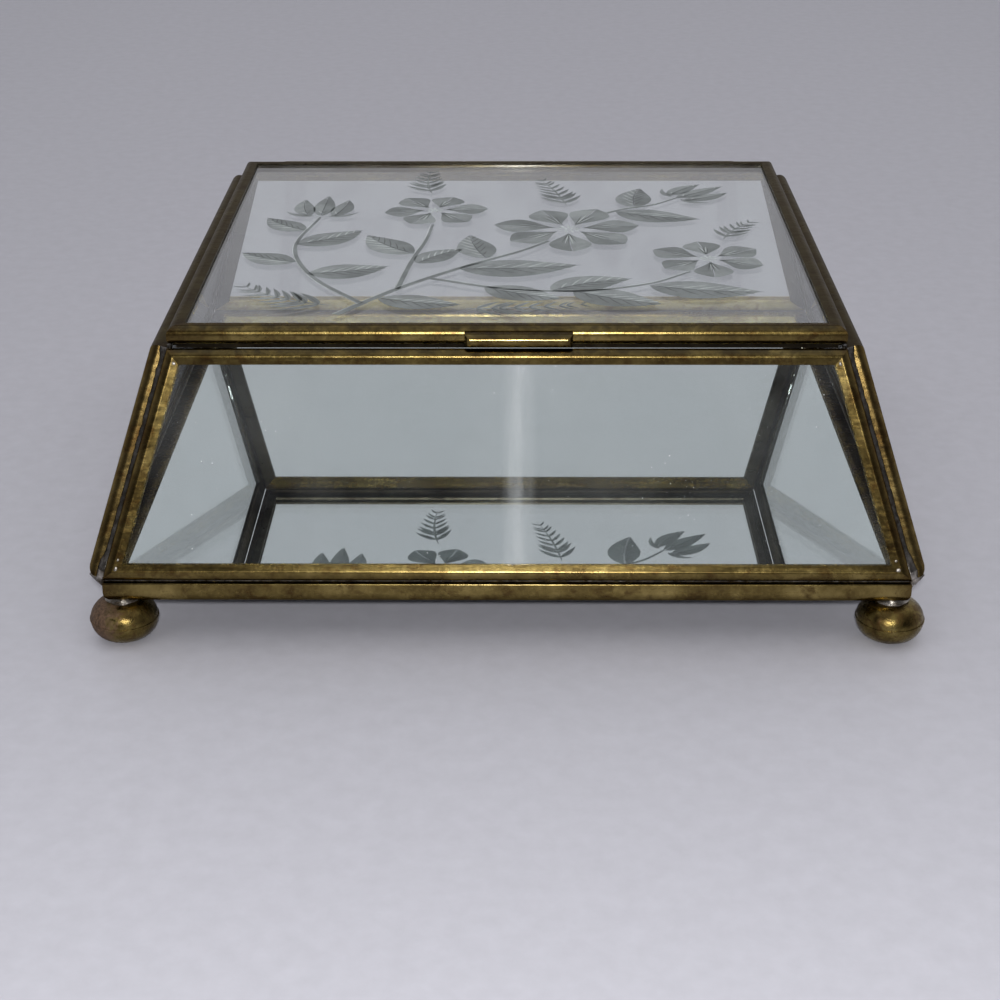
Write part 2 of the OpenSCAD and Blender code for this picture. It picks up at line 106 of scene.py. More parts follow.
class Tree:
    """A material's node tree, with one call for each kind of node that the materials use."""

    def __init__(self, name):
        self.material = bpy.data.materials.new(name)
        self.material.use_nodes = True
        self.nodes = self.material.node_tree.nodes
        self.links = self.material.node_tree.links
        self.surface = self.nodes["Principled BSDF"]
        self.output = self.nodes["Material Output"]
        self.place = self.nodes.new("ShaderNodeTexCoord").outputs["Object"]

    def put(self, value, socket):
        """Links an output to a socket, or sets a plain value on it."""
        if isinstance(value, bpy.types.NodeSocket):
            self.links.new(value, socket)
        elif hasattr(value, "__len__") and len(value) == 3 and len(socket.default_value) == 4:
            socket.default_value = (*value, 1.0)
        else:
            socket.default_value = value

    def set(self, **values):
        """Sets the Principled shader's sockets, with _ for a space in their names."""
        for name, value in values.items():
            self.put(value, self.surface.inputs[name.replace("_", " ")])

    def stretched(self, scale):
        """Object coordinates times a scale for each axis."""
        node = self.nodes.new("ShaderNodeMapping")
        self.links.new(self.place, node.inputs["Vector"])
        node.inputs["Scale"].default_value = scale
        return node.outputs["Vector"]

    def axis(self, name, at=None):
        """One axis, X, Y or Z, of the object coordinates or of another vector."""
        node = self.nodes.new("ShaderNodeSeparateXYZ")
        self.links.new(at or self.place, node.inputs[0])
        return node.outputs[name]

    def noise(self, scale, detail=4.0, roughness=0.55, distortion=0.0, at=None):
        """Soft patches from 0 to 1, about 1 / scale metres wide."""
        node = self.nodes.new("ShaderNodeTexNoise")
        self.links.new(at or self.place, node.inputs["Vector"])
        node.inputs["Scale"].default_value = scale
        node.inputs["Detail"].default_value = detail
        node.inputs["Roughness"].default_value = roughness
        node.inputs["Distortion"].default_value = distortion
        return node.outputs["Fac"]

    def cells(self, scale):
        """Distance to the nearest of scattered points, about 1 / scale metres apart."""
        node = self.nodes.new("ShaderNodeTexVoronoi")
        self.links.new(self.place, node.inputs["Vector"])
        node.inputs["Scale"].default_value = scale
        return node.outputs["Distance"]

    def ramp(self, value, *stops):
        """The colour of a ramp at a value, as fill_ramp takes its stops."""
        node = self.nodes.new("ShaderNodeValToRGB")
        self.links.new(value, node.inputs["Fac"])
        fill_ramp(node, stops)
        return node.outputs["Color"]

    def mix(self, share, a, b, blend="MIX"):
        """Blends two colours or greys; a share of 1 is all b, or blends it fully."""
        node = self.nodes.new("ShaderNodeMix")
        node.data_type = "RGBA"
        node.blend_type = blend
        self.put(share, node.inputs["Factor"])
        self.put(a, node.inputs[6])
        self.put(b, node.inputs[7])
        return node.outputs[2]

    def math(self, operation, a, b=0.0):
        """The result of a Math node."""
        node = self.nodes.new("ShaderNodeMath")
        node.operation = operation
        self.put(a, node.inputs[0])
        self.put(b, node.inputs[1])
        return node.outputs["Value"]

    def bump(self, height, strength, distance, under=None):
        """The surface's normal, or the one under it, bent by a height."""
        node = self.nodes.new("ShaderNodeBump")
        self.links.new(height, node.inputs["Height"])
        node.inputs["Strength"].default_value = strength
        node.inputs["Distance"].default_value = distance
        if under is not None:
            self.links.new(under, node.inputs["Normal"])
        return node.outputs["Normal"]

    def lamps_pass(self):
        """Lets light from the lamps through the surface, so that glass casts no dark shadow."""
        path = self.nodes.new("ShaderNodeLightPath")
        clear = self.nodes.new("ShaderNodeBsdfTransparent")
        self.put(GLASS_SHADE, clear.inputs["Color"])
        either = self.math("MAXIMUM", path.outputs["Is Shadow Ray"], path.outputs["Is Diffuse Ray"])
        node = self.nodes.new("ShaderNodeMixShader")
        self.links.new(either, node.inputs[0])
        self.links.new(self.surface.outputs[0], node.inputs[1])
        self.links.new(clear.outputs[0], node.inputs[2])
        self.links.new(node.outputs[0], self.output.inputs["Surface"])


# ---------------------------------------------------------------- sizes of the box

# Half sizes of the inside at the foot of the walls and at their rim
BASE_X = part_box("front_channel_bottom")[1].x
RIM_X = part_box("front_channel_top")[1].x
BASE_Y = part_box("right_channel_bottom")[1].y
RIM_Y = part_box("right_channel_top")[1].y
# Underside and top of the base, which the walls stand on, and the height of the walls
BASE_BOTTOM, BASE_Z = (corner.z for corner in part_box("base_channel_front"))
WALL_H = 37.6 * MM
# How far the walls lean in from upright
FRONT_TILT = math.atan2(BASE_Y - RIM_Y, WALL_H)
SIDE_TILT = math.atan2(BASE_X - RIM_X, WALL_H)
# Top of the lid's glass
LID_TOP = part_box("lid_glass")[1].z
# Thickness of a wall's channel
CHANNEL_T = 3.1 * MM
# Each side and corner: its sign along X and Y, and its name
SIDES = ((-1, "left"), (1, "right"))
CORNERS = [
    (side_x, side_y, y_name + "_" + x_name)
    for side_x, x_name in SIDES
    for side_y, y_name in ((-1, "front"), (1, "back"))
]


# ---------------------------------------------------------------- materials

# Colours of painted shade on upward faces, of dirt, glass and silvering
TOP_SHADE_COLOUR = (0.032, 0.026, 0.013)
PIT = (0.03, 0.02, 0.01)
RUST_STAIN = (0.085, 0.045, 0.016)
FLUX_STAIN = (0.12, 0.085, 0.05)
GLASS_TINT = (0.885, 0.91, 0.91)
GLASS_SHADE = (0.93, 0.95, 0.94)
GLASS_DUST = (0.82, 0.84, 0.85)
SILVERING = (0.78, 0.82, 0.81)
MIRROR_DUST = (0.6, 0.61, 0.62)
# How far the brass is browned by heat from its soldered corners
BURNT_REACH = 3.2 * MM
# The rust on the front left foot grows from this place outwards, over this distance
RUST_X = -66.0 * MM
RUST_REACH = 5.0 * MM
# Middle and half width of the streak on the front pane: a wiped smear, whitened in a band where the
# flash's reflection falls, as painted reflection
GLARE_STREAK_X = 2.2 * MM
GLARE_STREAK_HALF = 3.2 * MM


def near_corners(t, reach):
    """1 at the upright corners of the walls and the lid, falling to 0 at a distance from them."""
    up = t.math("MAXIMUM", t.math("SUBTRACT", t.axis("Z"), BASE_Z), 0.0)
    up = t.math("MINIMUM", up, WALL_H)
    gaps = []
    for axis, base, rim in (("X", BASE_X, RIM_X), ("Y", BASE_Y, RIM_Y)):
        edge = t.math("SUBTRACT", base, t.math("MULTIPLY", up, (base - rim) / WALL_H))
        gaps.append(t.math("SUBTRACT", edge, t.math("ABSOLUTE", t.axis(axis))))
    ragged = t.math("MULTIPLY", t.noise(500, 4, 0.6), reach * 0.9)
    gap = t.math("ADD", t.math("MAXIMUM", *gaps), ragged)
    node = t.nodes.new("ShaderNodeMapRange")
    t.links.new(gap, node.inputs["Value"])
    node.inputs["From Min"].default_value = reach * 1.3
    node.inputs["From Max"].default_value = reach * 0.4
    return node.outputs["Result"]


def facing_up(t):
    """The upward part of the surface's own normal."""
    return t.axis("Z", t.nodes.new("ShaderNodeNewGeometry").outputs["Normal"])


def brass(name, dark, middle, bright, rough=(0.17, 0.32), top_shade=0.85, lacquer=0.15):
    """Aged brass: an olive patina in soft patches, brown stains, painted shade that darkens what
    faces up, browning round the soldered corners, dark pits and fine scratches along and across."""
    t = Tree(name)
    patches = t.noise(140, 5, 0.62)
    stains = t.noise(380, 6, 0.62, 0.5)
    mottle = t.noise(1500, 4, 0.65)
    pits = t.noise(4200, 3, 0.7)
    brown = tuple(c * k for c, k in zip(dark, (0.85, 0.62, 0.5)))
    black = tuple(0.25 * c for c in dark)
    colour = t.ramp(patches, (0.28, dark), (0.52, middle), (0.74, bright))
    colour = t.mix(t.ramp(mottle, (0.46, 0.0), (0.7, 0.3)), colour, bright)
    colour = t.mix(t.ramp(stains, (0.5, 0.0), (0.66, 0.7)), colour, brown)
    # Painted shade: what faces up is darkened in patches, standing in for the dark room it reflects
    shaded_top = t.ramp(facing_up(t), (0.4, 0.0), (0.85, 1.0))
    shaded_top = t.mix(1.0, shaded_top, t.ramp(stains, (0.3, 0.45), (0.55, 1.0)), "MULTIPLY")
    colour = t.mix(t.math("MULTIPLY", shaded_top, top_shade), colour, TOP_SHADE_COLOUR)
    burnt = near_corners(t, BURNT_REACH)
    colour = t.mix(t.math("MULTIPLY", burnt, 0.55), colour, brown)
    colour = t.mix(t.ramp(pits, (0.3, 0.9), (0.4, 0.0)), colour, black)
    along = t.noise(1100, 3, 0.6, 0.0, t.stretched((0.06, 1.0, 1.0)))
    across = t.noise(900, 3, 0.6, 0.0, t.stretched((1.0, 0.08, 0.5)))
    worn = t.mix(0.5, t.mix(0.5, stains, mottle), along)
    roughness = t.ramp(worn, (0.38, rough[0]), (0.62, rough[1]))
    normal = t.bump(along, 0.14, 0.05 * MM)
    normal = t.bump(across, 0.05, 0.04 * MM, normal)
    normal = t.bump(mottle, 0.12, 0.06 * MM, normal)
    normal = t.bump(pits, 0.25, 0.04 * MM, normal)
    t.set(
        Base_Color=colour, Metallic=1.0, Roughness=roughness, Normal=normal,
        Coat_Weight=lacquer, Coat_Roughness=0.16, Specular_Tint=(0.45, 0.41, 0.34),
    )
    return t.material


def foot_brass():
    """Pressed brass ball, half polished, with olive mottling, brown rust stains and dark pits."""
    t = Tree("foot_brass")
    patches = t.noise(260, 5, 0.62)
    stains = t.noise(520, 6, 0.68, 0.6)
    crust = t.noise(1900, 5, 0.7)
    dark, middle, bright = (0.075, 0.05, 0.017), (0.17, 0.126, 0.04), (0.29, 0.225, 0.083)
    colour = t.ramp(patches, (0.34, dark), (0.5, middle), (0.66, bright))
    colour = t.mix(t.ramp(stains, (0.5, 0.0), (0.62, 0.8)), colour, RUST_STAIN)
    # The front left foot is the most corroded, worst on its outer side
    outer = t.math("MULTIPLY", t.math("SUBTRACT", t.axis("X"), RUST_X), -1.0 / RUST_REACH)
    front = t.math("LESS_THAN", t.axis("Y"), 0.0)
    rust = t.math("MULTIPLY", front, t.ramp(outer, (0.0, 0.0), (1.0, 0.8)))
    ragged = t.math("ADD", t.math("MULTIPLY", crust, 0.8), t.math("MULTIPLY", stains, 0.9))
    rusty = t.ramp(t.math("MULTIPLY", t.math("ADD", rust, ragged), 0.5), (0.5, 0.0), (0.72, 1.0))
    earth = t.ramp(crust, (0.35, (0.045, 0.023, 0.012)), (0.65, (0.15, 0.088, 0.048)))
    colour = t.mix(rusty, colour, earth)
    colour = t.mix(t.ramp(crust, (0.3, 0.8), (0.4, 0.0)), colour, PIT)
    roughness = t.mix(rusty, t.ramp(stains, (0.4, 0.22), (0.62, 0.42)), (0.75, 0.75, 0.75))
    normal = t.bump(crust, 0.3, 0.12 * MM)
    normal = t.bump(stains, 0.25, 0.2 * MM, normal)
    metal = t.math("SUBTRACT", 1.0, t.math("MULTIPLY", rusty, 0.8))
    t.set(Base_Color=colour, Metallic=metal, Roughness=roughness, Normal=normal)
    return t.material


def solder(name, light_level):
    """Grey tin and lead solder, lumpy and dull, with brighter crests and brown flux stains. A light level
    below 1 darkens it all, as painted shade.
    """
    t = Tree(name)
    lumps = t.noise(700, 4, 0.6)
    stains = t.noise(420, 5, 0.62, 0.4)
    grain = t.noise(3500, 3, 0.6)
    dark, middle, bright = (0.16, 0.155, 0.15), (0.36, 0.355, 0.35), (0.66, 0.65, 0.64)
    colour = t.ramp(lumps, (0.3, dark), (0.5, middle), (0.7, bright))
    colour = t.mix(t.ramp(stains, (0.5, 0.0), (0.64, 0.75)), colour, FLUX_STAIN)
    colour = t.mix(1.0, colour, (light_level, 0.94 * light_level, 0.86 * light_level), "MULTIPLY")
    roughness = t.ramp(grain, (0.3, 0.22), (0.7, 0.5))
    normal = t.bump(lumps, 0.7, 0.3 * MM)
    normal = t.bump(grain, 0.35, 0.05 * MM, normal)
    t.set(Base_Color=colour, Metallic=1.0, Roughness=roughness, Normal=normal)
    return t.material


def dust_on(t, specks_scale, cloud_scale, low=0.5):
    """Specks of dust that gather in clouds, with finer ones between."""
    clouds = t.ramp(t.noise(cloud_scale, 4, 0.6), (low, 0.0), (low + 0.12, 1.0))
    coarse = t.ramp(t.cells(specks_scale), (0.02, 1.0), (0.07, 0.0))
    fine = t.ramp(t.cells(specks_scale * 2.7), (0.02, 0.6), (0.1, 0.0))
    return t.math("MULTIPLY", t.math("MAXIMUM", coarse, fine), clouds)


def clear_glass(name, smear_and_glare=False):
    """Sheet glass with a grey green tint and specks of dust. With smear and glare, it has a streak
    across the pane at the front: a wiped smear, whitened in a band at the flash's place as painted
    reflection."""
    t = Tree(name)
    dust = dust_on(t, 560, 60)
    haze = t.ramp(t.noise(35, 4, 0.6), (0.45, 0.0), (0.75, 0.03))
    if smear_and_glare:
        off = t.math("ABSOLUTE", t.math("SUBTRACT", t.axis("X"), GLARE_STREAK_X))
        # Painted reflection: the band whitens the smears where the flash's reflection falls
        glare_band = t.ramp(t.math("DIVIDE", off, GLARE_STREAK_HALF), (0.0, 1.0), (1.0, 0.0))
        smears = t.noise(420, 4, 0.65, 0.3, t.stretched((1.0, 0.12, 0.12)))
        wiped = t.ramp(smears, (0.34, 0.25), (0.66, 1.0))
        front = t.math("LESS_THAN", t.axis("Y"), 0.0)
        streak = t.math("MULTIPLY", t.math("MULTIPLY", glare_band, wiped), t.math("MULTIPLY", front, 0.2))
        haze = t.math("ADD", haze, streak)
    cover = t.math("MINIMUM", t.math("ADD", t.math("MULTIPLY", dust, 0.8), haze), 1.0)
    t.set(
        Base_Color=t.mix(cover, GLASS_TINT, GLASS_DUST),
        Roughness=t.math("MULTIPLY", dust, 0.7),
        IOR=1.5,
        Transmission_Weight=t.math("SUBTRACT", 1.0, cover),
        Normal=t.bump(t.noise(18, 2, 0.5), 0.02, 0.6 * MM),
    )
    t.lamps_pass()
    return t.material


def frosted(name, tone, alpha):
    """Ground glass, where the wheel has cut: grainy and partly clear."""
    t = Tree(name)
    grain = t.noise(2400, 4, 0.7)
    clouds = t.noise(120, 4, 0.6)
    low = tuple(0.72 * c for c in tone)
    high = tuple(min(1.0, 1.3 * c) for c in tone)
    colour = t.ramp(t.mix(0.5, grain, clouds), (0.36, low), (0.5, tone), (0.64, high))
    t.set(
        Base_Color=colour,
        Roughness=t.ramp(grain, (0.35, 0.38), (0.65, 0.62)),
        Alpha=t.ramp(clouds, (0.35, alpha - 0.12), (0.65, alpha + 0.1)),
        Normal=t.bump(grain, 0.3, 0.04 * MM),
    )
    return t.material


def mirror():
    """Silvered glass with dust on top, and grey backing paint underneath."""
    t = Tree("mirror")
    low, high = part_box("base_mirror")
    on_top = t.math("GREATER_THAN", t.axis("Z"), (low.z + high.z) / 2)
    dust = dust_on(t, 520, 45, 0.46)
    haze = t.ramp(t.noise(30, 4, 0.6), (0.4, 0.0), (0.7, 0.045))
    cover = t.math("MINIMUM", t.math("ADD", t.math("MULTIPLY", dust, 0.85), haze), 1.0)
    paint = t.ramp(t.noise(500, 4, 0.6), (0.3, (0.16, 0.16, 0.17)), (0.7, (0.24, 0.24, 0.25)))
    scratches = t.noise(700, 4, 0.6, 0.0, t.stretched((0.1, 1.0, 1.0)))
    scuffs = t.ramp(scratches, (0.62, 0.0), (0.7, 0.6))
    paint = t.mix(scuffs, paint, (0.34, 0.34, 0.34))
    face = t.mix(cover, SILVERING, MIRROR_DUST)
    clean = t.math("SUBTRACT", 1.0, cover)
    t.set(
        Base_Color=t.mix(on_top, paint, face),
        Metallic=t.math("MULTIPLY", on_top, clean),
        Roughness=t.mix(on_top, (0.6, 0.6, 0.6), t.ramp(dust, (0.0, 0.015), (1.0, 0.6))),
    )
    return t.material


MATERIALS = {
    "channel_brass": brass(
        "channel_brass", (0.06, 0.038, 0.011), (0.15, 0.106, 0.031), (0.32, 0.24, 0.085)
    ),
    # Painted shade: a darker, rougher copy of the brass for the channels of this slot
    "dark_channel_brass": brass(
        "dark_channel_brass", (0.036, 0.032, 0.023), (0.062, 0.055, 0.041), (0.12, 0.106, 0.075),
        rough=(0.26, 0.42), top_shade=0.6,
    ),
    "foot_brass": foot_brass(),
    "hinge_brass": brass("hinge_brass", (0.15, 0.11, 0.06), (0.3, 0.24, 0.13), (0.48, 0.4, 0.22)),
    "solder": solder("solder", 1.0),
    "clear_glass": clear_glass("clear_glass", smear_and_glare=True),
    "etched_glass": clear_glass("etched_glass"),
    "mirror": mirror(),
}
# Copies of the brass and solder for single pieces: painted shade on the lid's lip and on solder in
# grooves, painted light on the back wall's bottom channel and the two front corner channels
# Painted shade: near-black brass for the lid's lip, darkened for the shade under the lid
SHADE_BLACK_BRASS = brass(
    "shade_black_brass", (0.016, 0.013, 0.01), (0.03, 0.024, 0.017), (0.05, 0.04, 0.026),
    rough=(0.45, 0.6), top_shade=0.5, lacquer=0.0,
)
# Painted light: a brighter, rougher copy of the brass for the back wall's bottom channel, standing in for
# the flash light that the mirror base throws onto it
MIRROR_LIT_BRASS = brass(
    "mirror_lit_brass", (0.38, 0.3, 0.1), (0.58, 0.47, 0.19), (0.76, 0.64, 0.31),
    rough=(0.38, 0.52), top_shade=0.2,
)
# Painted light: a brighter copy of the brass for the two front corner channels
BRIGHTENED_BRASS = brass("brightened_brass", (0.085, 0.058, 0.019), (0.23, 0.17, 0.058), (0.44, 0.34, 0.135))
# Painted shade: solder darkened to a third, for solder in grooves and under the lid
SHADED_SOLDER = solder("shaded_solder", 0.3)
# What the wheel has cut in the lid's glass: frost, a darker frost that is painted shade on one half of
# each leaf, petal and leaflet and is also used for the stems, dark cut lines, and bright cut lines that
# are painted highlights
FROST = frosted("etching_frost", (0.285, 0.312, 0.308), 0.8)
SHADE_HALF_FROST = frosted("etching_shade_half", (0.2, 0.222, 0.218), 0.84)
CUT_DARK = frosted("etching_cut_dark", (0.07, 0.08, 0.078), 0.88)
CUT_HIGHLIGHT = frosted("etching_cut_highlight", (0.62, 0.67, 0.66), 0.75)


def dress_cad():
    """Gives each CAD node the material of its slot, and a few nodes a copy with painted light or painted
    shade.
    """
    for part in frame["record"]["subparts"]:
        node = frame["nodes"][part["node"]]
        node.data.materials.clear()
        node.data.materials.append(MATERIALS[part["material_slot"]])
    for material, names in (
        (SHADE_BLACK_BRASS, ("lid_lip",)),
        (SHADED_SOLDER, ("base_solder_front", "base_solder_back", "lid_rest_beads")),
        (MIRROR_LIT_BRASS, ("back_channel_bottom",)),
        (BRIGHTENED_BRASS, ("left_channel_front", "right_channel_front")),
    ):
        for name in names:
            frame["nodes"][name].data.materials[0] = material


# ---------------------------------------------------------------- new pieces


def add_piece(name, mesh, body, slot, *materials, smooth=True):
    """Makes an object of a bmesh and lets it ride on a body."""
    bmesh.ops.recalc_face_normals(mesh, faces=mesh.faces)
    data = bpy.data.meshes.new(name)
    mesh.to_mesh(data)
    mesh.free()
    for polygon in data.polygons:
        polygon.use_smooth = smooth
    for material in materials:
        data.materials.append(material)
    obj = new_object(name, data)
    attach(obj, body)
    return obj


def loft(mesh, rows, index=0, later=0, change=0):
    """Closed skin through rings of points, with both ends capped. Its material is the one at
    later from the ring at change on."""
    rings = [[mesh.verts.new(p) for p in row] for row in rows]
    count = len(rings[0])
    later = later if change else index
    for place, (one, two) in enumerate(zip(rings, rings[1:])):
        for j in range(count):
            k = (j + 1) % count
            face = mesh.faces.new((one[j], one[k], two[k], two[j]))
            face.material_index = later if place >= change else index
    mesh.faces.new(rings[0][::-1]).material_index = index
    mesh.faces.new(rings[-1]).material_index = later


def lumps(x, y, z, scale):
    """Smooth unevenness from -1 to 1, the same each run."""
    return noise.noise(Vector((x, y, z)) / (scale * MM))


# ---------------------------------------------------------------- etching

# Heights of the frosted plates' undersides and tops, just over the lid's glass, and of the
# tops of the lines cut into them
PLATE_LOW = LID_TOP + 0.002 * MM
PLATE_HIGH = LID_TOP + 0.02 * MM
LINE_HIGH = LID_TOP + 0.03 * MM
# Least width of a cut, in millimetres
THIN = 0.03
# Where a stroke, a leaf and a petal are widest, as a share of their length
STROKE_PEAK = 0.35
LEAF_PEAK = 0.42
PETAL_PEAK = 0.62
# Stretches of a stem between two of its points
STEM_STEPS = 12
# Angles in degrees between a leaf and its veins, a frond and its leaflets, and two petal cuts
VEIN_TURN = 42
LEAFLET_TURN = 52
CUT_TURN = 7


def heading_of(angle):
    """The direction at an angle in degrees."""
    return Vector((math.cos(math.radians(angle)), math.sin(math.radians(angle))))


def arc_line(start, angle, length, bend, steps=14):
    """Points of a line that turns evenly, in millimetres and degrees; bend is its whole turn."""
    points = [Vector(start)]
    for k in range(steps):
        step = heading_of(angle + bend * (k + 0.5) / steps) * (length / steps)
        points.append(points[-1] + step)
    return points


def plate(mesh, line, inner, outer, index=0, top=PLATE_HIGH):
    """Thin closed plate along a line: inner and outer give its reach to the left at a share of
    the line."""
    last = len(line) - 1
    rows = []
    for k, point in enumerate(line):
        ahead = line[min(k + 1, last)] - line[max(k - 1, 0)]
        side = Vector((-ahead.y, ahead.x)).normalized()
        near = (point + side * inner(k / last)) * MM
        far = (point + side * outer(k / last)) * MM
        edges = ((near, PLATE_LOW), (far, PLATE_LOW), (far, top), (near, top))
        rows.append([(spot.x, spot.y, z) for spot, z in edges])
    loft(mesh, rows, index)


def swell(share, peak):
    """0 at both ends and 1 at the peak's share."""
    skew = math.log(0.5) / math.log(peak)
    return math.sin(math.pi * min(max(share, 0.0), 1.0) ** skew)


def stroke(mesh, start, angle, length, bend, width, index=0, top=PLATE_HIGH, steps=10):
    """A line cut with a wheel: it swells and then runs out to a point."""
    line = arc_line(start, angle, length, bend, steps)
    plate(
        mesh, line,
        lambda t: -THIN / 2 - width / 2 * swell(t, STROKE_PEAK),
        lambda t: THIN / 2 + width / 2 * swell(t, STROKE_PEAK),
        index, top,
    )


def leaf(mesh, lines, start, angle, length, width, bend, veins=6):
    """A leaf in two frosted halves with a clear midrib, veins cut into it and feathered tips. The second
    half takes the darker frost, painted shade, and the veins on one side are painted highlights.
    """
    line = arc_line(start, angle, length, bend)
    rib = 0.1 + 0.006 * length
    for turn in (1, -1):
        plate(
            mesh, line,
            lambda t: turn * rib * (1 - 0.7 * t),
            lambda t: turn * (rib + THIN + width / 2 * swell(t, LEAF_PEAK)),
            0 if turn > 0 else 1,
        )
    stroke(lines, start, angle, length * 1.04, bend, 0.16, 0, LINE_HIGH, 14)
    for k in range(veins):
        share = 0.16 + 0.68 * k / max(veins - 1, 1)
        root = line[round(share * (len(line) - 1))]
        heading = angle + bend * share
        span = width / 2 * swell(share, LEAF_PEAK) * 0.95
        for turn in (1, -1):
            side = heading + turn * VEIN_TURN
            cut = 1 if turn > 0 else 0
            stroke(lines, root, side, span * 1.25, -turn * 16, 0.2, cut, LINE_HIGH, 5)


def flower(mesh, lines, centre, radius, petals, phase, core=0.2):
    """Petals in two halves with fine lines at their roots, round a button of small cuts. One half of each
    petal takes the darker frost, painted shade; every other root line and the button's cuts are painted
    highlights.
    """
    centre = Vector(centre)
    for k in range(petals):
        angle = phase + 360 * k / petals
        out = heading_of(angle)
        length = radius * (1 - core) * (1.0 + 0.05 * math.sin(2.7 * k + phase))
        line = arc_line(centre + out * radius * core, angle, length, 7 if k % 2 else -7)
        width = 2 * math.pi * radius * 0.62 / petals
        for turn in (1, -1):
            plate(
                mesh, line,
                lambda t: turn * 0.09,
                lambda t: turn * (0.12 + width / 2 * swell(t, PETAL_PEAK)),
                0 if turn > 0 else 1,
            )
        root = centre + out * radius * (core + 0.03)
        for step in (-2, -1, 0, 1, 2):
            reach = length * (0.62 - 0.06 * abs(step))
            stroke(lines, root, angle + CUT_TURN * step, reach, 0, 0.2, step % 2, LINE_HIGH, 6)
    for ring, count in ((0.13, 9), (0.06, 5)):
        for k in range(count):
            angle = phase + 360 * k / count
            root = centre + heading_of(angle) * radius * (ring - 0.04)
            stroke(lines, root, angle, radius * 0.075, 0, 0.5, 1, LINE_HIGH, 4)


def bud(mesh, lines, centre, angle, size):
    """A closed flower: three petals side by side, over two sepals that curl away."""
    across = Vector((-math.sin(math.radians(angle)), math.cos(math.radians(angle))))
    for turn, reach in ((0, 1.0), (22, 0.82), (-22, 0.82)):
        foot = Vector(centre) + across * (0.008 * size * turn)
        leaf(mesh, lines, foot, angle + turn, size * reach, size * 0.28, -turn * 1.1, 2)
    for turn in (100, -100):
        foot = Vector(centre) + across * math.copysign(0.1 * size, turn)
        stroke(mesh, foot, angle + turn, size * 0.5, -turn * 0.7, size * 0.1)


def fern(mesh, lines, start, angle, length, bend, pairs, reach):
    """A frond: a thin stem with pairs of leaflets that shorten to its tip; one leaflet of each pair takes
    the darker frost, painted shade.
    """
    stem = arc_line(start, angle, length, bend, 2 * pairs)
    stroke(mesh, start, angle, length, bend, 0.5, 0, PLATE_HIGH, 2 * pairs)
    for k in range(1, pairs + 1):
        share = k / (pairs + 1)
        root = stem[round(share * 2 * pairs)]
        heading = angle + bend * share
        span = reach * (1 - 0.72 * share)
        for turn in (1, -1):
            side = heading + turn * LEAFLET_TURN
            stroke(mesh, root, side, span, -turn * 22, span * 0.2, 0 if turn > 0 else 1)
            stroke(lines, root, side, span * 0.85, -turn * 22, 0.1, 0, LINE_HIGH, 6)


def between(a, b, c, d, t):
    """The place at share t from b to c on a smooth curve through four points."""
    square = 2 * a - 5 * b + 4 * c - d
    cube = 3 * b - a - 3 * c + d
    return 0.5 * (2 * b + (c - a) * t + square * t * t + cube * t ** 3)


def stem_line(mesh, lines, points, width):
    """A smooth stem through points, wider at its foot, in the darker frost, with a painted highlight line
    down one side.
    """
    spots = [Vector(p) for p in points]
    spots = [spots[0] * 2 - spots[1]] + spots + [spots[-1] * 2 - spots[-2]]
    line = []
    for a, b, c, d in zip(spots, spots[1:], spots[2:], spots[3:]):
        line += [between(a, b, c, d, k / STEM_STEPS) for k in range(STEM_STEPS)]
    line.append(spots[-2])
    plate(mesh, line, lambda t: -width / 2 * (1 - 0.6 * t), lambda t: width / 2 * (1 - 0.6 * t), 1)
    plate(lines, line, lambda t: width * 0.36, lambda t: width * 0.36 + 0.1, 1, LINE_HIGH)


